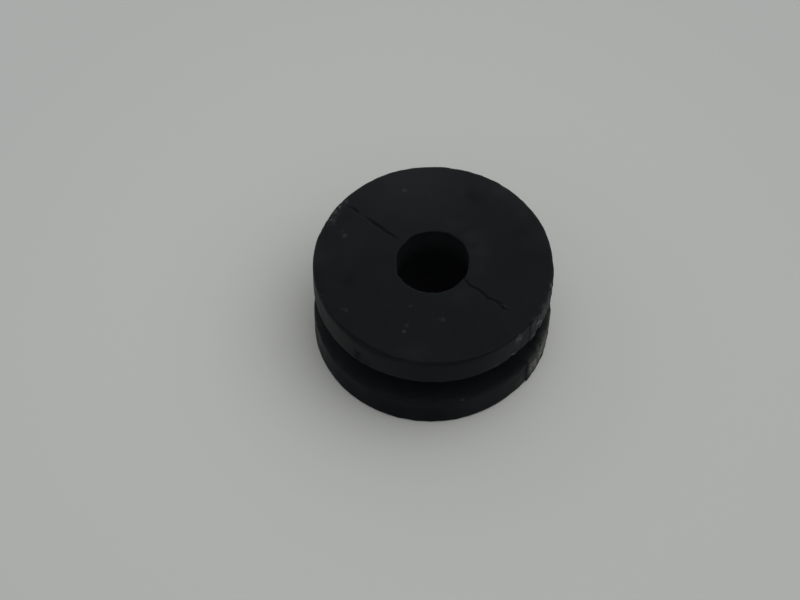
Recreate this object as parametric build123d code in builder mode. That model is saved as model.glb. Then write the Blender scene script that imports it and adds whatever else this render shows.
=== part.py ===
from build123d import *
from math import cos, pi, radians, sin
import os

# Rubber mount, moulded in one piece: a spool with two flanges, a groove that snaps into a panel
# and a bore for a bolt. Millimetres, +Z up. The origin is the centre of the bore at the bottom face.
# The mould was two halves that part on the XZ plane, with a round pin between them for the bore.

# Sizes of the spool
flange_diameter = 20.0
upper_flange_thickness = 2.9
lower_flange_thickness = 3.1
groove_width = 3.4
core_diameter = 12.0
bore_diameter = 6.2

# Edges: the outer edges of the end faces, the edges beside the groove, the groove's root, the bore's mouths
rim_edge_radius = 0.25
groove_edge_radius = 0.12
root_radius = 0.4
bore_edge_radius = 0.12

# The mould halves didn't close fully, so the rubber between them is this thick
mould_opening = 0.32

# Flash that was left proud on the +X end of the rims, on the +Y half, and fades round the rim
upper_flash_height = 0.15
upper_flash_reach_deg = 44.0
lower_flash_height = 0.25
lower_flash_reach_deg = 60.0
flash_edge_inset = 0.15
flash_root_depth = 1.0

# Flash that was trimmed too deep on the -X end of the upper rim, on the -Y half
trim_depth = 0.12
trim_direction_deg = 194.0

# The fine notch that runs down each rim where the mould halves met
parting_notch_width = 0.12
parting_notch_depth = 0.14

# The torn parting line across the upper face: greatest width and depth
tear_width = 0.17
tear_depth = 0.25
tear_bore_overlap = 0.2

# Each tear runs outwards. A point is (share of the way from the bore to the rim, offset in Y).
right_tear = [
    (0.0, 0.16),
    (0.07, 0.13),
    (0.15, 0.06),
    (0.27, 0.13),
    (0.38, -0.02),
    (0.46, 0.04),
    (0.57, 0.11),
    (0.68, 0.15),
]
right_fork = [(0.5, 0.08), (0.58, 0.02), (0.64, -0.14), (0.69, -0.2)]
left_tear = [(0.08, 0.0), (0.2, -0.02), (0.29, -0.05), (0.38, -0.05), (0.47, -0.05), (0.6, 0.01), (0.67, 0.0)]
left_outer_tear = [(0.72, -0.08), (0.79, -0.01), (0.86, 0.06), (0.93, -0.18)]

flange_radius = flange_diameter / 2
core_radius = core_diameter / 2
bore_radius = bore_diameter / 2
groove_bottom = lower_flange_thickness
groove_top = groove_bottom + groove_width
total_height = groove_top + upper_flange_thickness
half_opening = mould_opening / 2


def tear_outline(points, direction, start_open):
    """Closed outline of a tear: its centre line, widened by a half sine from end to end.

    direction is +1 or -1, the side of the bore along X. With start_open the first end is full width.
    """
    web = flange_radius - bore_radius
    last = len(points) - 1
    upper_side = []
    lower_side = []
    for i, (share, offset) in enumerate(points):
        phase = (i + last) / (2 * last) if start_open else i / last
        half_width = tear_width / 2 * sin(pi * phase)
        x = direction * (bore_radius + share * web)
        upper_side.append((x, offset + half_width))
        lower_side.append((x, offset - half_width))
    if start_open:
        inside = direction * (bore_radius - tear_bore_overlap)
        upper_side.insert(0, (inside, upper_side[0][1]))
        lower_side.insert(0, (inside, lower_side[0][1]))
        return upper_side + lower_side[-2::-1]
    return upper_side + lower_side[-2:0:-1]


def rim_point(radius, angle_deg):
    """A point at a radius and angle from the axis of the +Y mould half."""
    angle = radians(angle_deg)
    return (radius * cos(angle), half_opening + radius * sin(angle))


# Half section of the spool on the face of the +Y mould half, from the axis to the rim
with BuildSketch(Plane.XZ.offset(-half_opening)) as half_section:
    with BuildLine():
        Polyline(
            (0, 0),
            (flange_radius, 0),
            (flange_radius, groove_bottom),
            (core_radius, groove_bottom),
            (core_radius, groove_top),
            (flange_radius, groove_top),
            (flange_radius, total_height),
            (0, total_height),
            close=True,
        )
    make_face()
    rim_corners = half_section.vertices().group_by(Axis.X)[-1].sort_by(Axis.Y)
    root_corners = half_section.vertices().group_by(Axis.X)[1]
    fillet([rim_corners[0], rim_corners[-1]], rim_edge_radius)
    fillet(rim_corners[1:3], groove_edge_radius)
    fillet(root_corners, root_radius)

# The same section on both sides of the axis, for the thin web of rubber between the mould halves
with BuildSketch(Plane.XZ.offset(-half_opening)) as full_section:
    add(half_section.sketch_local)
    mirror(about=Plane.YZ)

with BuildPart() as rubber_mount:
    # Spool: one half turn for each mould half, and the web between them
    revolve(half_section.sketch, axis=Axis((0, half_opening, 0), (0, 0, 1)), revolution_arc=180)
    mirror(about=Plane.XZ)
    extrude(full_section.sketch, amount=mould_opening)

    # Bore left by the round pin, with its two mouths eased
    with BuildSketch():
        Circle(bore_radius)
    extrude(amount=total_height, mode=Mode.SUBTRACT)
    mouths = rubber_mount.edges(Select.LAST).filter_by(GeomType.CIRCLE)
    fillet(mouths, bore_edge_radius)

    # Flash left on the rims: a low crescent that starts at the parting plane and fades round the +Y half
    for base, thickness, height, reach_deg in (
        (0, lower_flange_thickness, lower_flash_height, lower_flash_reach_deg),
        (groove_top, upper_flange_thickness, upper_flash_height, upper_flash_reach_deg),
    ):
        with BuildSketch(Plane.XY.offset(base + flash_edge_inset)):
            with BuildLine():
                start = rim_point(flange_radius + height, 0)
                middle = rim_point(flange_radius + height, reach_deg / 2)
                end = rim_point(flange_radius, reach_deg)
                ThreePointArc(start, middle, end)
                Polyline(end, rim_point(flange_radius - flash_root_depth, 0), start)
            make_face()
        extrude(amount=thickness - 2 * flash_edge_inset)

    # Flat left by the trimming cut on the upper rim: what lies past the flat's line is cut off
    trim_angle = radians(trim_direction_deg)
    trim_reach = flange_radius - trim_depth
    flat_middle = (trim_reach * cos(trim_angle), trim_reach * sin(trim_angle) - half_opening)
    with BuildSketch(Plane.XY.offset(groove_top)):
        with Locations(Location(flat_middle, trim_direction_deg)):
            Rectangle(flange_radius, flange_radius, align=(Align.MIN, Align.CENTER))
    extrude(amount=upper_flange_thickness, mode=Mode.SUBTRACT)

    # Notches down both rims on the parting plane, through both flanges
    with BuildSketch():
        with Locations((flange_radius, 0), (-flange_radius, 0)):
            Rectangle(2 * parting_notch_depth, parting_notch_width)
    extrude(amount=total_height, mode=Mode.SUBTRACT)

    # Torn parting line across the upper face
    with BuildSketch(Plane.XY.offset(total_height)):
        for points, direction, start_open in (
            (right_tear, 1, True),
            (right_fork, 1, False),
            (left_tear, -1, False),
            (left_outer_tear, -1, False),
        ):
            with BuildLine():
                Polyline(*tear_outline(points, direction, start_open), close=True)
            make_face()
    extrude(amount=-tear_depth, mode=Mode.SUBTRACT)

rubber_mount.part.label = "rubber_mount"

os.makedirs("parts", exist_ok=True)
export_step(rubber_mount.part, "parts/rubber_mount.step")
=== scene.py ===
import math

import bpy
import numpy as np
from mathutils import Matrix, Vector


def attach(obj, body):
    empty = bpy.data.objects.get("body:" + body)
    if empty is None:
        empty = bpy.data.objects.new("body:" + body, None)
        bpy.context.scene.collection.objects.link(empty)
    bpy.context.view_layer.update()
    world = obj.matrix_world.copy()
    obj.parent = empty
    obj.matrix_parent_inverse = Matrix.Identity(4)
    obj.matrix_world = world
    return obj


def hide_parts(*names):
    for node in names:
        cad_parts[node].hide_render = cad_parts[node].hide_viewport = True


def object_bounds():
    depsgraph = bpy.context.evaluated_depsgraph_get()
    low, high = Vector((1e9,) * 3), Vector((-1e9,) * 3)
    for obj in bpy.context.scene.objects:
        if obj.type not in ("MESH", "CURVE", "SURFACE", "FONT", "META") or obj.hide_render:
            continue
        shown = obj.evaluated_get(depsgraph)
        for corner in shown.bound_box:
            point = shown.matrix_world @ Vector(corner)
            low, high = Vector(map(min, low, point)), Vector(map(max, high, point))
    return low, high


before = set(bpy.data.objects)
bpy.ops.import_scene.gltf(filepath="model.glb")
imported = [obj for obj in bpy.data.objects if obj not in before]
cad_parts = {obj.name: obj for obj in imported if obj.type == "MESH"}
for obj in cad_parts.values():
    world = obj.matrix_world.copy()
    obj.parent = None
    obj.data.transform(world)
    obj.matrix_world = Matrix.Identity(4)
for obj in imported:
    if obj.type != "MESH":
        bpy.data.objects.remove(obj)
cad_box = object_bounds()

# Rubber mount, dressed: one skin of moulded black rubber over the spool, with the flash, the torn
# parting line and the scuffs of the real one. Lengths are in millimetres, and become metres where
# a mesh, a material or the camera takes them.
MM = 0.001

# Sizes of the spool, as in the part's source
FLANGE_RADIUS = 10.0
UPPER_FLANGE = 2.9
LOWER_FLANGE = 3.1
GROOVE_WIDTH = 3.4
CORE_RADIUS = 6.0
RIM_EDGE = 0.25
GROOVE_EDGE = 0.12
ROOT_EDGE = 0.4
HALF_OPENING = 0.16
GROOVE_BOTTOM = LOWER_FLANGE
GROOVE_TOP = GROOVE_BOTTOM + GROOVE_WIDTH
HEIGHT = GROOVE_TOP + UPPER_FLANGE

# The worn bore is drawn out a little across the parting plane, as the flanges are, so its half
# circles are smaller than the round bore of the source. Its upper mouth is eased more than the lower.
BORE_RADIUS = 3.01
BORE_EDGE = 0.1
LOWER_MOUTH_EDGE = 0.03

# The skin's grid has this many columns round the axis
COLUMNS = 640

# Where the camera stands, in degrees: its bearing, its height over the horizon, and its roll
CAMERA_AZIMUTH = 37.5
CAMERA_ELEVATION = 56.22
CAMERA_ROLL = -1.39
# How far it is from the top face, its lens, the width of its film, and the nearest that it sees
CAMERA_DISTANCE = 172.0
CAMERA_LENS = 92.23
FILM_WIDTH = 36
CAMERA_NEAR = 5.0
# The centre of the top face lies this far right of the picture's middle and above it
AIM_RIGHT = 2.78
AIM_UP = 3.23

# Flaws of the moulding

# Torn parting line on the top face. Each point is (distance along X, offset in Y, half width).
RIGHT_TEAR = [
    (2.9, 0.28, 0.18),
    (3.4, 0.12, 0.19),
    (3.9, 0.02, 0.2),
    (4.3, 0.1, 0.19),
    (4.8, 0.16, 0.19),
    (5.3, 0.09, 0.2),
    (5.85, -0.06, 0.22),
    (6.2, 0.08, 0.19),
    (6.75, 0.16, 0.19),
    (7.0, 0.27, 0.12),
    (7.3, 0.36, 0.01),
]
RIGHT_FORK = [
    (6.6, 0.14, 0.01),
    (7.0, 0.06, 0.12),
    (7.3, -0.02, 0.16),
    (7.6, 0.03, 0.14),
    (7.8, 0.0, 0.01),
]
LEFT_TEAR = [
    (-7.6, -0.04, 0.01),
    (-7.0, -0.02, 0.17),
    (-6.4, -0.02, 0.25),
    (-5.7, -0.02, 0.22),
    (-5.15, -0.11, 0.19),
    (-4.4, -0.03, 0.19),
    (-3.9, -0.07, 0.15),
    (-3.4, -0.12, 0.01),
]
LEFT_OUTER_TEAR = [
    (-9.45, -0.34, 0.01),
    (-9.15, -0.16, 0.16),
    (-8.9, 0.0, 0.2),
    (-8.6, 0.05, 0.2),
    (-8.25, 0.01, 0.22),
    (-8.0, -0.1, 0.16),
    (-7.8, -0.15, 0.01),
]
# How deep the trough of a tear is, and how high its lips stand
TEAR_DEPTH = 0.115
TEAR_LIP = 0.008

# Flash on the upper and the lower rim: its height, and where it starts and ends in degrees
UPPER_FLASH = (0.1, 1.4, 42.0)
LOWER_FLASH = (0.2, 2.1, 60.0)
# The sizes of its coarse and its fine facets, and how far they stand out
COARSE_FACET = 0.8
FINE_FACET = 0.35
FACET_HEIGHT = 0.06
# How far the rims swell before the flash
UPPER_SWELL = 0.03
LOWER_SWELL = 0.08

# Notches down the rims where the mould halves met: their depth, and half their width
NOTCH_DEPTH = 0.06
NOTCH_HALF_WIDTH = 0.05
# At the +X end they lie this far off the parting plane, and the upper one leans further off it
UPPER_NOTCH_OFFSET = 0.2
UPPER_NOTCH_LEAN = 0.12
LOWER_NOTCH_OFFSET = 0.36

# Flat of the trimming cut on the upper rim: its direction in degrees, and how deep it goes
TRIM_DIRECTION = 194.0
TRIM_DEPTH = 0.12
# The frayed edge by the cut reaches in to this radius, and outside it the grid is finer
FRAYED_TO = 9.0

# Uneven mouth of the bore: (direction in degrees, width in degrees, how much wider the mouth is)
BORE_MOUTH = [
    (36, 16, -0.1),
    (60, 12, -0.06),
    (105, 5, 0.07),
    (163, 10, 0.08),
    (194, 6, 0.05),
    (220, 10, -0.06),
    (243, 4.5, 0.12),
    (260, 6, 0.05),
]
# How far the unevenness reaches out over the top face, and down the bore
MOUTH_REACH_OUT = 0.8
MOUTH_REACH_DOWN = 3.0

# Wear that rounds the upper rim's top edge: (direction in degrees, width in degrees, depth)
EDGE_WEAR = [
    (272, 8, 0.06),
    (287, 9, 0.045),
    (308, 7, 0.035),
    (321, 7, 0.05),
    (337, 5, 0.02),
]
# How far from the edge's corner the wear reaches
WEAR_REACH = 0.32

# Unevenness of the moulding: (height, wavelength, seed)
SLOW_UNEVENNESS = (0.01, 4.5, 11)
FINE_UNEVENNESS = (0.004, 1.3, 12)
EDGE_WANDER = (0.02, 1.1, 13)
CUT_WANDER = (0.02, 0.7, 14)
# The skin is sunk by this much, so that little of its unevenness stands out of the solid's faces
SKIN_SUNK = 0.005

# Nicks in the rims' edges and the frayed top edge by the trimming cut:
# (direction in degrees, distance from the axis, level, size, depth)
NICKS = [
    (9, 10, 6.5, 0.3, 0.14),
    (15, 10, 6.45, 0.25, 0.1),
    (349, 10, 6.55, 0.25, 0.1),
    (354, 10, 6.5, 0.2, 0.08),
    (5, 10, 9.35, 0.25, 0.07),
    (13.5, 10, 9.3, 0.3, 0.1),
    (21, 10, 9.35, 0.25, 0.05),
    (27, 10, 9.35, 0.2, 0.08),
    (177.1, 9.8, 9.4, 0.14, 0.08),
    (180.9, 9.7, 9.4, 0.14, 0.09),
    (186.1, 9.52, 9.4, 0.13, 0.14),
    (189.3, 9.58, 9.4, 0.12, 0.12),
    (192.2, 9.76, 9.4, 0.14, 0.1),
    (193.5, 9.13, 9.4, 0.15, 0.08),
    (201, 10, 9.35, 0.3, 0.05),
    (237.5, 9.8, 9.35, 0.22, 0.07),
    (230, 10, 2.9, 0.3, 0.06),
    (20, 10, 3.0, 0.3, 0.08),
]

# Chalky scuffs: (direction in degrees, distance from the axis, level, reach round the rim,
# reach across it, strength). Those at the rim's own distance stay on the rim.
SCUFFS = [
    # Upper rim, before the parting line
    (346, 10, 7.9, 2.0, 1.7, 0.03),
    (353.3, 10, 8.6, 0.45, 0.6, 0.28),
    (352.2, 10, 8.75, 0.15, 0.17, 0.7),
    (354.6, 10, 8.3, 0.15, 0.14, 0.6),
    (353.4, 10, 9.1, 0.14, 0.12, 0.6),
    (350, 10, 6.68, 0.3, 0.17, 1.0),
    (340, 10, 6.62, 0.2, 0.14, 0.5),
    # Upper rim, on the flash
    (8.5, 10, 7.7, 1.3, 1.3, 0.08),
    (8.3, 10, 8.05, 0.34, 0.24, 0.95),
    (11.8, 10, 7.25, 0.32, 0.26, 0.95),
    (8.2, 10, 6.8, 0.26, 0.28, 1.0),
    (5.2, 10, 6.8, 0.3, 0.3, 0.4),
    (15.6, 10, 7.75, 0.4, 0.5, 0.55),
    (20.5, 10, 7.5, 0.4, 0.7, 0.45),
    (19, 10, 8.9, 1.2, 0.5, 0.12),
    (25.7, 10, 9.3, 0.25, 0.15, 0.85),
    # Lower rim
    (357, 10, 0.9, 0.9, 0.7, 0.1),
    (6.0, 10, 2.2, 0.35, 0.5, 0.5),
    (7.0, 10, 1.5, 0.55, 1.0, 0.8),
    (10.5, 10, 1.2, 0.5, 1.0, 0.85),
    (14.5, 10, 1.8, 0.8, 1.3, 0.8),
    (21, 10, 2.0, 0.9, 1.1, 0.65),
    (29, 10, 2.4, 1.0, 0.7, 0.35),
    (237, 10, 2.4, 0.6, 1.0, 0.25),
    (243, 10, 1.9, 1.0, 1.3, 0.1),
    # Frayed top edge by the trimming cut
    (180.2, 9.8, 9.4, 0.13, 0.1, 0.25),
    (179.4, 9.65, 9.4, 0.13, 0.1, 0.25),
    (178.7, 9.5, 9.4, 0.13, 0.1, 0.2),
    (177.9, 9.68, 9.4, 0.1, 0.08, 0.15),
    (183.3, 9.72, 9.4, 0.12, 0.1, 0.6),
    (184.6, 9.52, 9.4, 0.15, 0.1, 0.2),
    (187.2, 9.68, 9.4, 0.28, 0.1, 0.3),
    (192.3, 9.6, 9.4, 0.25, 0.16, 0.25),
    (192.7, 9.3, 9.4, 0.2, 0.14, 0.15),
    (188, 9.7, 9.4, 1.5, 0.45, 0.05),
    (240, 10, 8.3, 1.6, 1.4, 0.05),
]

# Soft dark stains, and painted shade low on the front of the lower rim and in the groove: (x, y, z,
# radius, strength)
STAINS_AND_SHADE = [
    (-1.6, 7.4, 9.4, 0.85, 0.7),
    (3.7, 7.2, 9.4, 0.7, 0.7),
    (-4.2, -6.1, 9.4, 0.85, 1.0),
    (-4.3, -7.3, 9.4, 1.0, 0.4),
    (7.32, 2.18, 9.4, 0.3, 0.7),
    (7.8, 1.6, 9.4, 0.6, 0.4),
    (7.4, 0.5, 9.4, 0.9, 0.35),
    (6.8, -1.1, 9.4, 0.7, 0.3),
    (6.5, -1.45, 9.4, 0.3, 0.8),
    (7.2, -1.4, 9.4, 0.3, 0.8),
    (-8.4, -1.1, 9.4, 0.7, 0.4),
    (5.3, 2.0, 9.4, 0.45, 0.25),
    (6.2, -6.0, 9.4, 0.6, 0.4),
    (-9.0, -0.15, 9.4, 0.4, 0.3),
    (0.2, -10.15, 7.7, 0.5, 1.0),
    # Painted shade: the next four darken the lower rim's front, where it faces the camera
    (6.2, -7.8, 1.0, 2.4, 0.5),
    (3.0, -9.5, 1.0, 2.4, 0.5),
    (-0.5, -10.0, 1.0, 2.2, 0.25),
    (-4.0, -9.2, 1.0, 2.0, 0.15),
    # Painted shade: the last three darken the groove at the +X end, under the upper flange
    (9.15, 1.9, 3.1, 0.6, 0.9),
    (9.0, 2.7, 3.1, 0.6, 0.9),
    (8.75, 3.5, 3.1, 0.6, 0.8),
]

# Painted highlights on the top face and the front of the upper rim, among them a rim light along the
# front edge and a ring round the bore's mouth: (x, y, z, radius, strength)
PAINTED_HIGHLIGHTS = [
    (-8.5, 7.0, 9.4, 5.8, 1.0),
    (-2.5, 9.8, 9.4, 2.2, 0.6),
    (0, 10, 9.4, 1.9, 1.0),
    (2.3, 9.8, 9.4, 1.6, 0.55),
    (5.5, 8.0, 9.4, 1.2, 0.4),
    (1.0, 4.3, 9.4, 1.0, 0.6),
    (2.3, 3.3, 9.4, 1.0, 0.6),
    (-0.7, 4.4, 9.4, 0.8, 0.45),
    (3.4, 2.0, 9.4, 0.9, 0.35),
    (4.0, -1.4, 9.4, 0.8, 0.3),
    (-7.8, -5.6, 9.4, 1.2, 0.45),
    (-9.3, -2.0, 9.4, 1.0, 0.5),
    (4.5, -8.3, 9.4, 1.0, 0.3),
    (-6.2, -2.5, 9.4, 1.3, 0.2),
    (-2.5, -9.9, 7.3, 1.6, 0.35),
    (0.2, -10.2, 7.3, 1.8, 0.35),
    (3.5, -9.6, 7.3, 1.6, 0.3),
]
# The marks' outlines wander by this much, and their wander has this wavelength
MARK_WANDER = 0.35
MARK_WAVELENGTH = 1.5

# How chalky the flash and the nicks are
UPPER_FLASH_CHALK = 0.08
LOWER_FLASH_CHALK = 0.14
NICK_CHALK = 0.1

# How dusty the groove is at its core, how much more it is by the rims, and how dusty the bore is
GROOVE_CORE_DUST = 0.25
GROOVE_RIM_DUST = 0.7
BORE_DUST = 0.9
# The groove is clean in this direction and to each side of it, in degrees
GROOVE_CLEAN_AT = 5
GROOVE_CLEAN_WIDTH = 32

# Lint that lies on the rubber: (x, y, z, size, brightness)
LINT = [
    (-6.5, 4.29, 9.4, 0.27, 0.08),
    (-7.47, -2.63, 9.4, 0.3, 0.09),
    (-7.9, -2.35, 9.4, 0.2, 0.04),
    (-2.56, -8.38, 9.4, 0.28, 0.05),
    (-2.9, -8.45, 9.4, 0.2, 0.04),
    (2.47, -7.01, 9.4, 0.26, 0.1),
    (2.25, -6.4, 9.4, 0.26, 0.05),
    (1.32, -4.71, 9.4, 0.25, 0.035),
    (4.22, -4.06, 9.4, 0.32, 0.05),
    (4.0, -4.2, 9.4, 0.2, 0.03),
    (7.45, 0.28, 9.4, 0.24, 0.025),
    (8.02, -5.97, 2.98, 0.14, 0.25),
]


# Camera

def place_camera():
    """Camera that looks at the top face from CAMERA_DISTANCE, turned by the roll about its own axis."""
    az, el, roll = (math.radians(a) for a in (CAMERA_AZIMUTH, CAMERA_ELEVATION, CAMERA_ROLL))
    look = Vector((-math.sin(az) * math.cos(el), math.cos(az) * math.cos(el), -math.sin(el)))
    flat_right = Vector((math.cos(az), math.sin(az), 0))
    flat_up = flat_right.cross(look)
    right = flat_right * math.cos(roll) - flat_up * math.sin(roll)
    up = flat_right * math.sin(roll) + flat_up * math.cos(roll)
    place = Vector((0, 0, HEIGHT)) - right * AIM_RIGHT - up * AIM_UP - look * CAMERA_DISTANCE
    data = bpy.data.cameras.new("photo_camera")
    data.lens = CAMERA_LENS
    data.sensor_width = FILM_WIDTH
    data.clip_start = CAMERA_NEAR * MM
    camera = bpy.data.objects.new("photo_camera", data)
    bpy.context.collection.objects.link(camera)
    turn = Matrix((right, up, -look)).transposed().to_4x4()
    camera.matrix_world = Matrix.Translation(place * MM) @ turn
    bpy.context.scene.camera = camera


place_camera()


# Curves, noise and masks

def smooth_step(low, high, value):
    """0 below low, 1 above high, and the cubic 3t^2 - 2t^3 between."""
    t = np.clip((value - low) / (high - low), 0, 1)
    return t * t * (3 - 2 * t)


def bell(value, centre, width):
    """exp(-((value - centre) / width)^2)"""
    return np.exp(-(((value - centre) / width) ** 2))


def turn_from(centre_deg, angle_deg):
    """Signed turn in degrees from centre_deg to angle_deg, between -180 and 180."""
    return (angle_deg - centre_deg + 180) % 360 - 180


def ripple(points, wavelength, seed, waves=28):
    """Smooth noise of about -1 to 1: a sum of plane waves with seeded directions and phases.

    points has x, y and z on its last axis. Each wave's length lies within a third of wavelength.
    The sum is divided by 1.6 times its spread, so that about one place in ten passes 1.
    """
    rng = np.random.default_rng(seed)
    heading = rng.normal(size=(waves, 3))
    heading /= np.linalg.norm(heading, axis=1)[:, None]
    heading *= (2 * np.pi / wavelength / rng.uniform(0.67, 1.33, waves))[:, None]
    phase = rng.uniform(0, 2 * np.pi, waves)
    total = np.zeros(points.shape[:-1])
    for wave, start in zip(heading, phase):
        total += np.cos(points @ wave + start)
    return total * math.sqrt(2 / waves) / 1.6


def unevenness(points, height, wavelength, seed):
    """The ripple of that wavelength and seed, standing out and in by about height."""
    return height * ripple(points, wavelength, seed)


def torn_facets(along, level, spacing, seed):
    """Height of a torn rubber face, as small tilted facets of about -1 to 1.

    along and level are lengths on the rim. Seeded spots are scattered spacing apart, each with a
    rise and a slope, and every place takes the plane of the spot nearest to it.
    """
    rng = np.random.default_rng(seed)
    across = np.arange(along.min(), along.max() + spacing, spacing)
    upwards = np.arange(level.min(), level.max() + spacing, spacing)
    spots = np.stack(np.meshgrid(across, upwards), axis=-1).reshape(-1, 2)
    spots = spots + rng.uniform(-0.5, 0.5, spots.shape) * spacing
    slopes = rng.uniform(-1, 1, spots.shape) / spacing
    rises = rng.uniform(-0.6, 0.6, len(spots))
    nearest = np.full(along.shape, np.inf)
    height = np.zeros(along.shape)
    for spot, slope, rise in zip(spots, slopes, rises):
        off_along = along - spot[0]
        off_level = level - spot[1]
        distance = off_along**2 + off_level**2
        closer = distance < nearest
        nearest = np.where(closer, distance, nearest)
        plane = rise + 0.5 * (slope[0] * off_along + slope[1] * off_level)
        height = np.where(closer, plane, height)
    return height


# Grid of the skin: columns go round the axis, rows run along the section

def section_rows():
    """Section of the spool as one closed loop of (radius, height, outward normal) rows.

    It runs outwards along the bottom face, up the rims and through the groove, inwards along the
    top face and down the bore. Straight runs share their ends with the quarter rounds between them.
    """
    rows = []

    def run(start, end, normal, count):
        """Evenly spaced points from start up to, but without, end."""
        for share in np.arange(count) / count:
            rows.append((*(np.array(start) * (1 - share) + np.array(end) * share), *normal))

    def quarter(centre, radius, first_deg, last_deg, count, hollow=False):
        """Quarter round from first_deg up to, but without, last_deg.

        The normal of a hollow one points to its centre.
        """
        for angle in np.radians(first_deg + (last_deg - first_deg) * np.arange(count) / count):
            out = np.array((math.cos(angle), math.sin(angle)))
            rows.append((*(np.array(centre) + radius * out), *(-out if hollow else out)))

    up, down, outward, inward = (0, 1), (0, -1), (1, 0), (-1, 0)
    rim, core, bore = FLANGE_RADIUS, CORE_RADIUS, BORE_RADIUS
    run((bore + LOWER_MOUTH_EDGE, 0), (rim - RIM_EDGE, 0), down, 12)
    quarter((rim - RIM_EDGE, RIM_EDGE), RIM_EDGE, -90, 0, 5)
    run((rim, RIM_EDGE), (rim, GROOVE_BOTTOM - GROOVE_EDGE), outward, 22)
    quarter((rim - GROOVE_EDGE, GROOVE_BOTTOM - GROOVE_EDGE), GROOVE_EDGE, 0, 90, 3)
    run((rim - GROOVE_EDGE, GROOVE_BOTTOM), (core + ROOT_EDGE, GROOVE_BOTTOM), up, 9)
    quarter((core + ROOT_EDGE, GROOVE_BOTTOM + ROOT_EDGE), ROOT_EDGE, 270, 180, 4, hollow=True)
    run((core, GROOVE_BOTTOM + ROOT_EDGE), (core, GROOVE_TOP - ROOT_EDGE), outward, 5)
    quarter((core + ROOT_EDGE, GROOVE_TOP - ROOT_EDGE), ROOT_EDGE, 180, 90, 4, hollow=True)
    run((core + ROOT_EDGE, GROOVE_TOP), (rim - GROOVE_EDGE, GROOVE_TOP), down, 7)
    quarter((rim - GROOVE_EDGE, GROOVE_TOP + GROOVE_EDGE), GROOVE_EDGE, -90, 0, 3)
    run((rim, GROOVE_TOP + GROOVE_EDGE), (rim, HEIGHT - RIM_EDGE), outward, 22)
    quarter((rim - RIM_EDGE, HEIGHT - RIM_EDGE), RIM_EDGE, 0, 90, 5)
    run((rim - RIM_EDGE, HEIGHT), (FRAYED_TO, HEIGHT), up, 9)
    run((FRAYED_TO, HEIGHT), (bore + BORE_EDGE, HEIGHT), up, 29)
    quarter((bore + BORE_EDGE, HEIGHT - BORE_EDGE), BORE_EDGE, 90, 180, 3)
    run((bore, HEIGHT - BORE_EDGE), (bore, LOWER_MOUTH_EDGE), inward, 9)
    quarter((bore + LOWER_MOUTH_EDGE, LOWER_MOUTH_EDGE), LOWER_MOUTH_EDGE, 180, 270, 2)
    return np.array(rows).T


def column_angles(count):
    """Angles round the axis, in radians from -pi to pi, closest together where the detail is.

    The columns' density is 1, plus 5 times a bell at each end of the parting plane, plus 1.2 along
    the flash and 1.4 along the trimmed edge. The angles lie at equal steps of the running sum.
    """
    fine = np.linspace(-180, 180, 36001)
    off_plane = np.minimum(np.abs(fine), 180 - np.abs(fine))
    flash_end = smooth_step(-20, -12, fine) - smooth_step(50, 60, fine)
    trimmed_end = 1 - smooth_step(-162, -155, fine)
    density = 1 + 5 * bell(off_plane, 0, 3) + 1.2 * flash_end + 1.4 * trimmed_end
    running = np.cumsum(density)
    steps = running[0] + (running[-1] - running[0]) * np.arange(count) / count
    return np.radians(np.interp(steps, running, fine))


def oval_radius(radius, angle):
    """Distance from the axis to two half circles that stand 2 * HALF_OPENING apart, joined by flats.

    Near the parting plane the flat at x = radius is met first, elsewhere the half circle whose
    centre is HALF_OPENING off the plane.
    """
    flat = radius / np.maximum(np.abs(np.cos(angle)), 1e-6)
    across = HALF_OPENING * np.abs(np.sin(angle))
    half_circle = across + np.sqrt(radius**2 - (HALF_OPENING * np.cos(angle)) ** 2)
    return np.minimum(flat, half_circle)


# Relief of the flaws, in millimetres outwards

def tear_relief(x, y):
    """Height of the torn line at x, y, a trough sunk by TEAR_DEPTH between two low lips, and its share.

    Between a tear's points its centre line and half width run straight. Across the tear the trough
    is half a cosine wave on each side, shallower where the tear is narrow. The lips are bells that
    stand one and a half half widths to each side. The share is 1 at the trough's middle.
    """
    relief = np.zeros_like(x)
    share = np.zeros_like(x)
    for tear in (RIGHT_TEAR, RIGHT_FORK, LEFT_TEAR, LEFT_OUTER_TEAR):
        along, offset, half_width = np.array(tear).T
        inside = (x > along[0]) & (x < along[-1])
        half = np.interp(x, along, half_width)
        off_centre = np.abs(y - np.interp(x, along, offset)) / half
        openness = half / half_width.max()
        sunk = 0.5 + 0.5 * np.cos(np.pi * np.minimum(off_centre, 1))
        lip = bell(off_centre, 1.5, 0.6)
        relief = relief + inside * openness * (TEAR_LIP * lip - TEAR_DEPTH * sunk)
        share = np.maximum(share, inside * openness * sunk)
    return relief, share


def flash_relief(angle_deg, level, upper):
    """Height of the flash over a rim, how much of it covers each place, and its torn facets.

    The flash steps up at the parting line and fades out over the last three tenths of its reach,
    and facets of two sizes roughen it. Before the step the rim swells a little.
    """
    along = np.radians(angle_deg) * FLANGE_RADIUS
    height, start, end = (np.where(upper, *pair) for pair in zip(UPPER_FLASH, LOWER_FLASH))
    step = smooth_step(start - 0.3, start + 0.5, angle_deg)
    cover = step * (1 - smooth_step(end * 0.7, end, angle_deg))
    near = (angle_deg > -20) & (angle_deg < 70)
    coarse = torn_facets(along[near], level[near], COARSE_FACET, 21)
    fine = torn_facets(along[near], level[near], FINE_FACET, 22)
    facets = np.zeros(along.shape)
    facets[near] = coarse + 0.6 * fine
    swell = np.where(upper, UPPER_SWELL, LOWER_SWELL) * smooth_step(-10, -2, angle_deg) * (1 - step)
    return cover * (height + FACET_HEIGHT * facets) + near * swell, cover, facets


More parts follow.
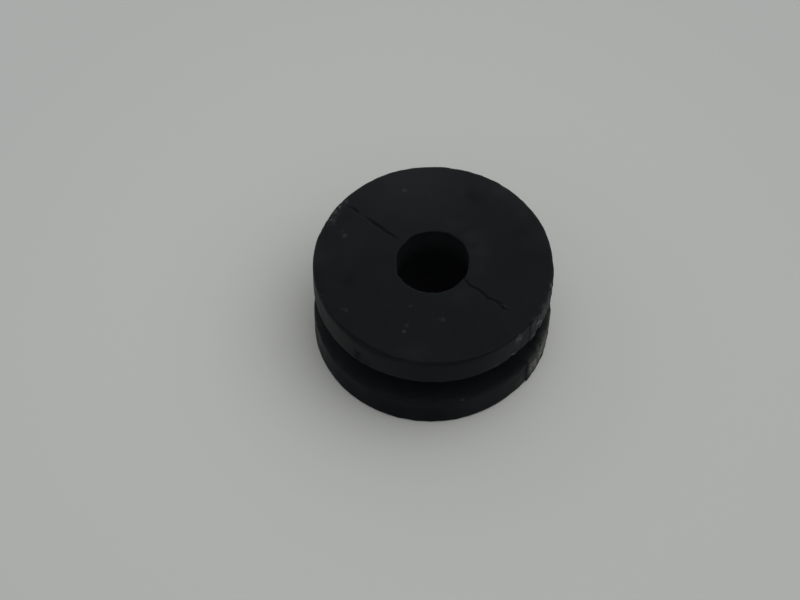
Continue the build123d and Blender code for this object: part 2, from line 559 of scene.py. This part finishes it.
def notch_relief(angle_deg, y, level, upper):
    """Depth of the notches down the rims on the parting line: bells in y.

    At the +X end the notch lies off the plane, beside the flash. On the upper rim its offset grows
    evenly by UPPER_NOTCH_LEAN from the top edge to the groove.
    """
    leaning = UPPER_NOTCH_OFFSET + UPPER_NOTCH_LEAN * (HEIGHT - level) / UPPER_FLANGE
    offset = np.where(upper, leaning, LOWER_NOTCH_OFFSET)
    right = -NOTCH_DEPTH * bell(y, offset, NOTCH_HALF_WIDTH) * (np.abs(angle_deg) < 20)
    left = -NOTCH_DEPTH * bell(y, 0, NOTCH_HALF_WIDTH) * (np.abs(angle_deg) > 160)
    return right + left


def nick_relief(angle_deg, rho, level):
    """Depth of the nicks, and how much each place belongs to one: bells round the nicks' places."""
    depth = np.zeros(angle_deg.shape)
    share = np.zeros(angle_deg.shape)
    for direction, distance, nick_level, size, nick_depth in NICKS:
        along = np.radians(turn_from(direction, angle_deg)) * distance
        near = bell(np.hypot(along, np.hypot(rho - distance, level - nick_level)), 0, size)
        depth = depth - nick_depth * near
        share = np.maximum(share, near)
    return depth, share


def edge_wear(angle_deg, rho, level):
    """Depth by which the upper rim's top edge is worn: bells round the rim, fading off the corner."""
    depth = np.zeros(angle_deg.shape)
    for direction, width, worn in EDGE_WEAR:
        depth = depth + worn * bell(turn_from(direction, angle_deg), 0, width)
    return depth * bell(np.hypot(rho - FLANGE_RADIUS, level - HEIGHT), 0, WEAR_REACH)


def mouth_relief(angle_deg, rho, level):
    """Change of the bore's radius: bells round its mouth, fading down the bore and over the face."""
    change = np.zeros(angle_deg.shape)
    for direction, width, wider in BORE_MOUTH:
        change = change + wider * bell(turn_from(direction, angle_deg), 0, width)
    fade_out = 1 - smooth_step(BORE_RADIUS + BORE_EDGE, BORE_RADIUS + MOUTH_REACH_OUT, rho)
    fade_down = smooth_step(HEIGHT - MOUTH_REACH_DOWN, HEIGHT - 0.5, level)
    return change * fade_out * fade_down


def scuff_mask(angle_deg, rho, level):
    """How scuffed each place is: the strongest of SCUFFS' patches.

    A patch is exp(-d^4), where d is the distance from its middle in shares of its reaches. One at
    the rim's own distance fades off the rim's face.
    """
    on_rim = smooth_step(FLANGE_RADIUS - 0.16, FLANGE_RADIUS - 0.02, rho)
    mask = np.zeros(angle_deg.shape)
    for direction, distance, scuff_level, reach_round, reach_across, strength in SCUFFS:
        along = np.radians(turn_from(direction, angle_deg)) * distance / reach_round
        across = np.hypot(rho - distance, level - scuff_level) / reach_across
        patch = strength * np.exp(-((along**2 + across**2) ** 2))
        mask = np.maximum(mask, patch * on_rim if distance >= FLANGE_RADIUS else patch)
    return mask


def mark_mask(at, marks):
    """Soft marks: the strongest of bells round the marks' places, with outlines that wander.

    Every place is moved by three ripples, one along each axis, and a mark's middle moves with it.
    """

    def moved(points):
        """The points, each moved by its three ripples."""
        ripples = [ripple(points, MARK_WAVELENGTH, seed) for seed in (31, 32, 33)]
        return points + MARK_WANDER * np.stack(ripples, axis=-1)

    moved_at = moved(at)
    mask = np.zeros(at.shape[:-1])
    for x, y, z, radius, strength in marks:
        distance = np.linalg.norm(moved_at - moved(np.array((x, y, z))), axis=-1)
        mask = np.maximum(mask, strength * bell(distance, 0, radius))
    return mask


def trimmed(at, x, y, on_upper_rim):
    """Places x, y after the trimming cut: what lies past the flat moves straight back onto it.

    The flat wanders by the ripple at the places at, where the skin was before any flaw.
    """
    cut = math.radians(TRIM_DIRECTION)
    past = x * math.cos(cut) + (y + HALF_OPENING) * math.sin(cut) - (FLANGE_RADIUS - TRIM_DEPTH)
    past = np.maximum(past + unevenness(at, *CUT_WANDER), 0) * on_upper_rim
    return x - past * math.cos(cut), y - past * math.sin(cut)


def chalky_flash(on_rim, cover, facets, nicked, upper, level):
    """How chalky the flash and the nicks are: the flash more where its facets stand out.

    On the flash the chalk fades towards the top edge, which is rubbed clean.
    """
    below_edge = 1 - smooth_step(HEIGHT - 0.35, HEIGHT - 0.1, level)
    strength = np.where(upper, UPPER_FLASH_CHALK, LOWER_FLASH_CHALK)
    return strength * on_rim * cover * below_edge * (1 + facets) + NICK_CHALK * nicked * on_rim


def painted_edge_shade(rho, level, wear):
    """Painted shade on the worn top edge, for its dark reflection: a bell about the middle of its
    round, full where 0.03 is worn off.

    The middle of the round lies 0.3 of its radius inside the rim and under the top face.
    """
    corner = np.hypot(rho - (FLANGE_RADIUS - 0.3 * RIM_EDGE), level - (HEIGHT - 0.3 * RIM_EDGE))
    return np.clip(wear / 0.03, 0, 1) * bell(corner, 0, 0.18)


def dust_mask(angle_deg, rho, level):
    """Dust in the bore below its mouth, and in the groove, where it grows towards the rims.

    It grows by a cubic step between the radii 7 and 9.8, and the clean part is a bell round the axis.
    """
    in_groove = (rho < FLANGE_RADIUS - 0.1) & (level > GROOVE_BOTTOM - 0.1) & (level < GROOVE_TOP + 0.1)
    in_bore = (rho < BORE_RADIUS + 0.01) * (1 - smooth_step(HEIGHT - 0.8, HEIGHT - 0.1, level))
    clean = bell(turn_from(GROOVE_CLEAN_AT, angle_deg), 0, GROOVE_CLEAN_WIDTH)
    groove_dust = (GROOVE_CORE_DUST + GROOVE_RIM_DUST * smooth_step(7, 9.8, rho)) * (1 - clean)
    return np.where(in_groove, groove_dust, BORE_DUST * in_bore)


def closed_grid_mesh(name, co):
    """Mesh of a grid of places in millimetres that is closed both ways, with smooth shading.

    co has columns, rows and x, y, z as its axes. A face joins each vertex with the next column and
    the next row, and the last column and row meet the first.
    """
    columns, rows = co.shape[:2]
    i = np.arange(columns)[:, None]
    j = np.arange(rows)[None, :]
    next_i, next_j = (i + 1) % columns, (j + 1) % rows
    corners = [i * rows + j, next_i * rows + j, next_i * rows + next_j, i * rows + next_j]
    faces = np.stack(corners, axis=-1).reshape(-1, 4)
    mesh = bpy.data.meshes.new(name)
    mesh.from_pydata(co.reshape(-1, 3) * MM, [], faces.tolist())
    mesh.polygons.foreach_set("use_smooth", np.ones(len(mesh.polygons), bool))
    return mesh


def build_skin():
    """One closed skin of rubber: the section's rows carried round the axis, with the flaws' relief.

    Returns the piece. Its vertices carry three masks: the scuffs, the stains with painted shade, and
    the dust with painted highlights.
    """
    rho, level, out_r, out_z = (row[None, :] for row in section_rows())
    angle = column_angles(COLUMNS)[:, None]
    angle_deg = np.degrees(angle)
    radius = oval_radius(rho, angle) + mouth_relief(angle_deg, rho, level)
    x = radius * np.cos(angle)
    y = radius * np.sin(angle)
    z = np.broadcast_to(level, x.shape)
    angle_deg = np.broadcast_to(angle_deg, x.shape)
    at = np.stack([x, y, z], axis=-1)

    # Where the rims, the upper flange, the top face and the middles of the rounded edges are
    on_rim = smooth_step(FLANGE_RADIUS - 0.2, FLANGE_RADIUS, rho)
    upper = np.broadcast_to(level > (GROOVE_TOP + GROOVE_BOTTOM) / 2, x.shape)
    on_top = smooth_step(0.6, 1.0, out_z) * (level > HEIGHT - 0.1)
    on_edge = (2 * out_r * out_z) ** 2 * (rho > FLANGE_RADIUS - 0.5)

    flash, cover, facets = flash_relief(angle_deg, z, upper)
    nicks, nicked = nick_relief(angle_deg, rho, z)
    wear = edge_wear(angle_deg, rho, z)
    tear, torn_open = tear_relief(x, y)
    spread = on_rim * (flash + notch_relief(angle_deg, y, z, upper)) - wear
    relief = nicks + on_top * tear
    relief = relief + unevenness(at, *SLOW_UNEVENNESS) + unevenness(at, *FINE_UNEVENNESS) - SKIN_SUNK
    relief = relief + on_edge * unevenness(at, *EDGE_WANDER)

    x = x + (spread + relief * out_r) * np.cos(angle)
    y = y + (spread + relief * out_r) * np.sin(angle)
    z = z - wear + relief * out_z
    x, y = trimmed(at, x, y, upper * (rho > FLANGE_RADIUS - 1))

    # The skin stays in the box of the solid
    low, high = (np.array(corner) / MM for corner in cad_box)
    co = np.clip(np.stack([x, y, z], axis=-1), low, high)

    chalky = chalky_flash(on_rim, cover, facets, nicked, upper, level)
    # Painted shade: a dark line along the worn top edge, and darkening in the tears' troughs
    painted_shade = np.maximum(painted_edge_shade(rho, level, wear), on_top * torn_open)
    masks = {
        "scuff": np.clip(chalky + scuff_mask(angle_deg, rho, level), 0, 1),
        # This mask holds the stains, and the painted shade on the edge, in the tears, on the lower rim
        # and in the groove
        "stain_and_shade": np.maximum(mark_mask(co, STAINS_AND_SHADE), painted_shade),
        # This mask holds the dust in the groove and the bore, and the painted highlights
        "dust_and_highlight": np.maximum(mark_mask(co, PAINTED_HIGHLIGHTS), dust_mask(angle_deg, rho, level)),
    }
    mesh = closed_grid_mesh("rubber_skin", co)
    for name, values in masks.items():
        mask = mesh.attributes.new(name, "FLOAT", "POINT")
        mask.data.foreach_set("value", values.astype(np.float32).ravel())
    mesh.update()
    skin = bpy.data.objects.new("rubber_skin", mesh)
    bpy.context.collection.objects.link(skin)
    return skin


# Shader nodes. The scale of a noise counts its lumps in a metre: 5200 makes lumps of 0.2 mm.

class Nodes:
    """Short way to add and wire nodes in one node tree."""

    def __init__(self, tree):
        self.tree = tree

    def add(self, kind, **settings):
        """A new node of a kind, with its settings."""
        node = self.tree.nodes.new(kind)
        for name, value in settings.items():
            setattr(node, name, value)
        return node

    def feed(self, socket, value):
        """Puts a number, a tuple or another node's output into a socket."""
        if isinstance(value, bpy.types.NodeSocket):
            self.tree.links.new(value, socket)
        else:
            socket.default_value = value

    def math(self, operation, *values, clamp=False):
        """A sum, product or the like of values."""
        node = self.add("ShaderNodeMath", operation=operation, use_clamp=clamp)
        for socket, value in zip(node.inputs, values):
            self.feed(socket, value)
        return node.outputs[0]

    def vector(self, operation, *values, output=0):
        """The same for vectors. Output 0 is a vector and output 1 a number."""
        node = self.add("ShaderNodeVectorMath", operation=operation)
        for socket, value in zip(node.inputs, values):
            self.feed(socket, value)
        return node.outputs[output]

    def remap(self, value, low, high, to_low=0.0, to_high=1.0, kind="LINEAR"):
        """Map from low..high to to_low..to_high, clamped."""
        node = self.add("ShaderNodeMapRange", interpolation_type=kind)
        for socket, given in zip(node.inputs, (value, low, high, to_low, to_high)):
            self.feed(socket, given)
        return node.outputs[0]

    def noise(self, vector, scale, detail=3.0, roughness=0.55):
        """Noise of 0 to 1 over a vector."""
        node = self.add("ShaderNodeTexNoise")
        self.feed(node.inputs["Vector"], vector)
        self.feed(node.inputs["Scale"], scale)
        self.feed(node.inputs["Detail"], detail)
        self.feed(node.inputs["Roughness"], roughness)
        return node.outputs["Fac"]

    def mix_color(self, factor, first, second):
        """Colour that goes from first to second with factor.

        A Mix node holds sockets for each kind of data. Inputs 6 and 7 and output 2 are the colours.
        """
        node = self.add("ShaderNodeMix", data_type="RGBA")
        self.feed(node.inputs[0], factor)
        self.feed(node.inputs[6], first)
        self.feed(node.inputs[7], second)
        return node.outputs[2]

    def group(self, tree, **values):
        """Outputs of a node group, with its inputs fed by name."""
        node = self.add("ShaderNodeGroup", node_tree=tree)
        for name, value in values.items():
            self.feed(node.inputs[name.replace("_", " ").capitalize()], value)
        return node.outputs


def new_group(name, inputs, outputs):
    """Shader node group with named inputs and outputs, each a (name, socket kind) pair.

    Returns its nodes, what it is given, and the sockets that it puts out.
    """
    tree = bpy.data.node_groups.new(name, "ShaderNodeTree")
    for socket, kind in inputs:
        tree.interface.new_socket(socket, in_out="INPUT", socket_type="NodeSocket" + kind)
    for socket, kind in outputs:
        tree.interface.new_socket(socket, in_out="OUTPUT", socket_type="NodeSocket" + kind)
    nodes = Nodes(tree)
    return nodes, nodes.add("NodeGroupInput").outputs, nodes.add("NodeGroupOutput").inputs


def moulded_grain_group():
    """Grain of moulded rubber: a height of fine grain and pores, and a tone that clouds the surface.

    The tone is slow clouds with some spots, stretched so that it reaches 0 and 1.
    """
    nodes, given, out = new_group(
        "moulded_grain", [("Vector", "Vector")], [("Height", "Float"), ("Tone", "Float")]
    )
    fine = nodes.noise(given["Vector"], 5200.0, 2.0)
    pores = nodes.noise(given["Vector"], 1700.0, 3.0)
    nodes.feed(out["Height"], nodes.math("ADD", nodes.math("MULTIPLY", fine, 0.5), pores))
    slow = nodes.noise(given["Vector"], 260.0, 3.0)
    spots = nodes.noise(given["Vector"], 900.0, 2.0)
    blend = nodes.math("ADD", nodes.math("MULTIPLY", slow, 0.7), nodes.math("MULTIPLY", spots, 0.3))
    nodes.feed(out["Tone"], nodes.remap(blend, 0.35, 0.65))
    return nodes.tree


def chalky_scuff_group():
    """Chalky scuff: the given scuff, thinned to chips and flecks with a veil between them.

    The chips are the cells of a Voronoi pattern, each with a random share that is added to the
    flecks' noise. The sum sets how much of the scuff is left, from the veil's 0.2 to 1.15.
    """
    nodes, given, out = new_group(
        "chalky_scuff",
        [("Vector", "Vector"), ("Scuff", "Float")],
        [("Mask", "Float"), ("Height", "Float")],
    )
    flecks = nodes.noise(given["Vector"], 2600.0, 4.0, 0.7)
    cells = nodes.add("ShaderNodeTexVoronoi")
    nodes.feed(cells.inputs["Vector"], given["Vector"])
    nodes.feed(cells.inputs["Scale"], 2300.0)
    chips = nodes.add("ShaderNodeSeparateColor")
    nodes.feed(chips.inputs[0], cells.outputs["Color"])
    broken = nodes.math("MULTIPLY_ADD", chips.outputs[0], 0.3, flecks)
    share = nodes.remap(broken, 0.5, 0.74, 0.2, 1.15)
    nodes.feed(out["Mask"], nodes.math("MULTIPLY", given["Scuff"], share))
    nodes.feed(out["Height"], flecks)
    return nodes.tree


def lint_group():
    """Lint: a mask of the specks in LINT, each a ball about its place with a ragged edge.

    Noise of up to the speck's size is added to the distance from its place. The speck is full where
    the sum is under 0.7 of its size, and gone past 1.35 of it.
    """
    nodes, given, out = new_group("lint_specks", [("Vector", "Vector")], [("Mask", "Float")])
    ragged = nodes.noise(given["Vector"], 9000.0, 1.0)
    mask = 0.0
    for x, y, z, size, brightness in LINT:
        offset = nodes.vector("SUBTRACT", given["Vector"], (x * MM, y * MM, z * MM))
        distance = nodes.vector("LENGTH", offset, output=1)
        edge = nodes.math("ADD", distance, nodes.math("MULTIPLY", ragged, size * MM))
        speck = nodes.remap(edge, size * 1.35 * MM, size * 0.7 * MM, 0.0, brightness)
        mask = nodes.math("MAXIMUM", mask, speck)
    nodes.feed(out["Mask"], mask)
    return nodes.tree


# Colours of the rubber: the two tones of its grain, the dust and painted highlights, the stains and
# painted shade, the chalk and the lint
DARK_TONE = (0.0003, 0.0014, 0.0024, 1)
LIGHT_TONE = (0.0018, 0.0031, 0.0043, 1)
DUST_AND_HIGHLIGHT_COLOR = (0.0072, 0.008, 0.0088, 1)
STAIN_AND_SHADE_COLOR = (0.0001, 0.0011, 0.0016, 1)
UPPER_CHALK = (0.088, 0.093, 0.096, 1)
LOWER_CHALK = (0.1, 0.102, 0.086, 1)
LINT_COLOR = (0.16, 0.17, 0.17, 1)

# Roughness of the grain's dark and light tone, and what the stains with the painted shade, and the
# chalk, add to it
DARK_ROUGHNESS = 0.52
LIGHT_ROUGHNESS = 0.6
STAIN_BELOW = 0.35
STAIN_ON_TOP = -0.22
CHALK_ROUGHNESS = 0.25

# How much the rubber reflects straight on
SPECULAR = 0.085

# The relief of the grain and the chalk: how strong and how deep it is, and the grain's share of it
BUMP_STRENGTH = 0.35
BUMP_DEPTH = 0.03
GRAIN_SHARE = 0.3


def black_rubber():
    """Matt black rubber with clouded tone, dust and painted highlights, dark stains and painted shade,
    chalky scuffs and lint.
    """
    material = bpy.data.materials.new("black_rubber")
    material.use_nodes = True
    nodes = Nodes(material.node_tree)
    shader = material.node_tree.nodes["Principled BSDF"]
    place = nodes.add("ShaderNodeTexCoord").outputs["Object"]
    scuff, stain_and_shade, dust_and_highlight = (
        nodes.add("ShaderNodeAttribute", attribute_name=name).outputs["Fac"]
        for name in ("scuff", "stain_and_shade", "dust_and_highlight")
    )
    grain = nodes.group(moulded_grain_group(), vector=place)
    chalk = nodes.group(chalky_scuff_group(), vector=place, scuff=scuff)
    lint = nodes.group(lint_group(), vector=place)

    color = nodes.mix_color(grain["Tone"], DARK_TONE, LIGHT_TONE)
    # Dust in the groove and the bore, and painted highlights on the top face and the upper rim
    color = nodes.mix_color(dust_and_highlight, color, DUST_AND_HIGHLIGHT_COLOR)
    # Stains, and painted shade along the worn edge, in the tears, low on the lower rim's front and in
    # the groove
    color = nodes.mix_color(stain_and_shade, color, STAIN_AND_SHADE_COLOR)
    # The chalk is yellower on the lower rim
    split = nodes.add("ShaderNodeSeparateXYZ")
    nodes.feed(split.inputs[0], place)
    lower = nodes.remap(split.outputs[2], GROOVE_TOP * MM, GROOVE_BOTTOM * MM)
    chalk_color = nodes.mix_color(lower, UPPER_CHALK, LOWER_CHALK)
    color = nodes.mix_color(chalk["Mask"], color, chalk_color)
    color = nodes.mix_color(lint["Mask"], color, LINT_COLOR)
    nodes.feed(shader.inputs["Base Color"], color)
    # The stains and the painted shade are a little oily on the top face and dull below it, and the
    # chalk is dull
    rough = nodes.remap(grain["Tone"], 0.0, 1.0, DARK_ROUGHNESS, LIGHT_ROUGHNESS)
    below, top = (HEIGHT - 0.35) * MM, (HEIGHT - 0.15) * MM
    stain_adds = nodes.remap(split.outputs[2], below, top, STAIN_BELOW, STAIN_ON_TOP)
    rough = nodes.math("MULTIPLY_ADD", stain_and_shade, stain_adds, rough)
    rough = nodes.math("MULTIPLY_ADD", chalk["Mask"], CHALK_ROUGHNESS, rough, clamp=True)
    nodes.feed(shader.inputs["Roughness"], rough)
    shader.inputs["Specular IOR Level"].default_value = SPECULAR

    chalk_height = nodes.math("MULTIPLY", chalk["Mask"], chalk["Height"])
    height = nodes.math("MULTIPLY_ADD", grain["Height"], GRAIN_SHARE, chalk_height)
    bump = nodes.add("ShaderNodeBump")
    bump.inputs["Strength"].default_value = BUMP_STRENGTH
    bump.inputs["Distance"].default_value = BUMP_DEPTH * MM
    nodes.feed(bump.inputs["Height"], height)
    nodes.feed(shader.inputs["Normal"], bump.outputs["Normal"])
    return material


skin = build_skin()
skin.data.materials.append(black_rubber())
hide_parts("rubber_mount")
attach(skin, "root")


# Floor and light

# The floor's half side, its colour up to NEAR_TO from the mount's axis, lighter by painted light, and
# that from AWAY_FROM on
FLOOR_HALF_SIDE = 1500.0
PAPER_WITH_PAINTED_LIGHT = (0.434, 0.442, 0.428, 1)
PAPER_AWAY = (0.388, 0.396, 0.39, 1)
NEAR_TO = 12.0
AWAY_FROM = 45.0

# A direction in the room is a bearing and a height over the horizon, in degrees. The bearing is 0 on
# the camera's side and grows to the camera's right.

# The walls' glow is full up to the first height and gone at the second, as sines of the height over
# the horizon
WALL_FULL_TO = 0.3
WALL_GONE_AT = 0.9
WALL_GLOW = 1.08
WALL_EVEN = 1.12
WALL_SWING = 0.38
WALL_BRIGHTEST = (221, 0)

# The ceiling's bright part: its middle, its glow, and how narrow it is
CEILING_MIDDLE = (88, 72)
CEILING_GLOW = 2.4
CEILING_POWER = 6.0


def build_floor():
    """Plain pale paper, three metres wide. It is a little darker away from the object: painted light,
    for the room's light falling off.
    """
    side = FLOOR_HALF_SIDE * MM
    corners = [(-side, -side, 0), (side, -side, 0), (side, side, 0), (-side, side, 0)]
    mesh = bpy.data.meshes.new("floor")
    mesh.from_pydata(corners, [], [(0, 1, 2, 3)])
    floor = bpy.data.objects.new("floor", mesh)
    bpy.context.collection.objects.link(floor)
    paper = bpy.data.materials.new("floor_paper")
    paper.use_nodes = True
    shader = paper.node_tree.nodes["Principled BSDF"]
    nodes = Nodes(paper.node_tree)
    place = nodes.add("ShaderNodeTexCoord").outputs["Object"]
    # Painted light: the paper is lighter near the mount and darker away from it
    distance = nodes.vector("LENGTH", place, output=1)
    painted_falloff = nodes.remap(distance, NEAR_TO * MM, AWAY_FROM * MM)
    nodes.feed(shader.inputs["Base Color"], nodes.mix_color(painted_falloff, PAPER_WITH_PAINTED_LIGHT, PAPER_AWAY))
    shader.inputs["Roughness"].default_value = 0.9
    shader.inputs["Specular IOR Level"].default_value = 0.1
    mesh.materials.append(paper)


build_floor()


def light_room():
    """World with glowing walls and a bright part of the ceiling, to the right of the camera.

    The walls' glow is the product of a cubic step in the height, from WALL_GLOW down to 0, and of
    WALL_EVEN plus WALL_SWING times the cosine to WALL_BRIGHTEST. The ceiling's glow is CEILING_GLOW
    times the cosine to CEILING_MIDDLE, raised to the power CEILING_POWER.
    """
    world = bpy.data.worlds.new("room")
    bpy.context.scene.world = world
    world.use_nodes = True
    nodes = Nodes(world.node_tree)
    toward = nodes.add("ShaderNodeTexCoord").outputs["Generated"]

    def cosine_to(bearing, height):
        """Cosine of the angle between the direction looked in and one in the room."""
        az, el = math.radians(CAMERA_AZIMUTH + bearing), math.radians(height)
        middle = (math.sin(az) * math.cos(el), -math.cos(az) * math.cos(el), math.sin(el))
        return nodes.vector("DOT_PRODUCT", toward, middle, output=1)

    split = nodes.add("ShaderNodeSeparateXYZ")
    nodes.feed(split.inputs[0], toward)
    fade = nodes.remap(split.outputs[2], WALL_FULL_TO, WALL_GONE_AT, WALL_GLOW, 0.0, kind="SMOOTHSTEP")
    round_room = nodes.math("MULTIPLY_ADD", cosine_to(*WALL_BRIGHTEST), WALL_SWING, WALL_EVEN)
    walls = nodes.math("MULTIPLY", fade, round_room)
    overhead = nodes.math("MAXIMUM", cosine_to(*CEILING_MIDDLE), 0.0)
    ceiling = nodes.math("POWER", overhead, CEILING_POWER)
    background = world.node_tree.nodes["Background"]
    background.inputs["Color"].default_value = (1, 1, 1, 1)
    nodes.feed(background.inputs["Strength"], nodes.math("MULTIPLY_ADD", ceiling, CEILING_GLOW, walls))


light_room()

bpy.context.scene.view_settings.view_transform = "Standard"
